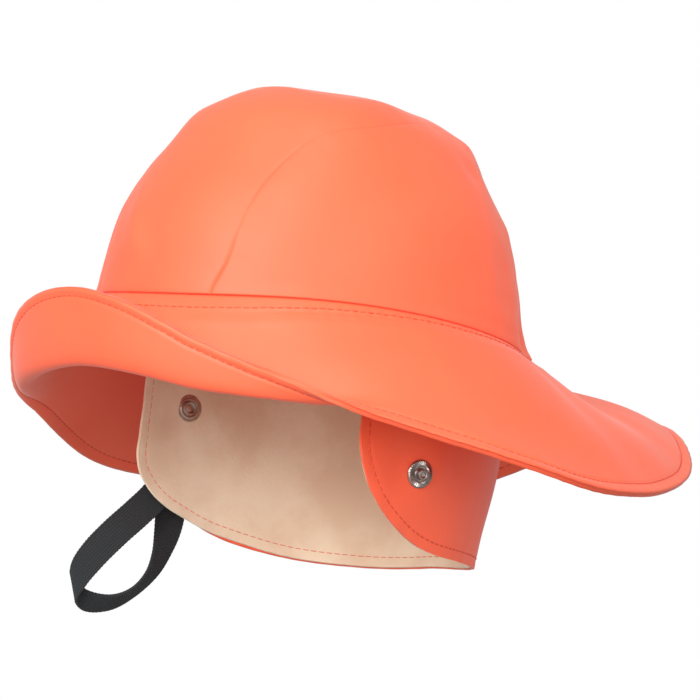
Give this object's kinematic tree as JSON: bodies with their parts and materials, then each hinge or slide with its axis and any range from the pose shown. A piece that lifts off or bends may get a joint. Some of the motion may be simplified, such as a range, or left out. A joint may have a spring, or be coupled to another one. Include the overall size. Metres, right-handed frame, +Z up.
{
  "type": "sou'wester rain hat with ear and neck flap",
  "caption": "Sou'wester rain hat of coated cloth: tall pieced crown, wide brim turned up in front and long at the back, lined ear and neck flap, snap and elastic loop.",
  "frame": {"origin": "the middle of the head opening, in the plane of the seam between crown and brim, where a head holds the hat", "axes": "the hat as it is worn: -Y is the wearer's front, +X the wearer's left, +Z up; the hat itself sits back on the head, its seam plane turned 10.8 degrees about X, front up"},
  "size_m": [0.2928, 0.3405, 0.2373],
  "materials": {
    "coated_cloth": "satin coral coating on cloth, with a fine grain and a pale sheen at grazing angles",
    "flannel": "cream cotton flannel, short soft nap",
    "snap_metal": "antique nickel, darkened in its grooves",
    "elastic": "matt black woven elastic ribbon"
  },
  "bodies": {
    "root": {"crown_center_strip": "coated_cloth", "crown_side_left": "coated_cloth", "crown_side_right": "coated_cloth", "brim": "coated_cloth", "ear_neck_flap": "coated_cloth", "flap_lining": "flannel", "snap_stud": "snap_metal", "snap_stud_back_ring": "snap_metal", "snap_socket": "snap_metal", "snap_socket_back_ring": "snap_metal", "elastic_loop": "elastic"}
  },
  "joints": []
}
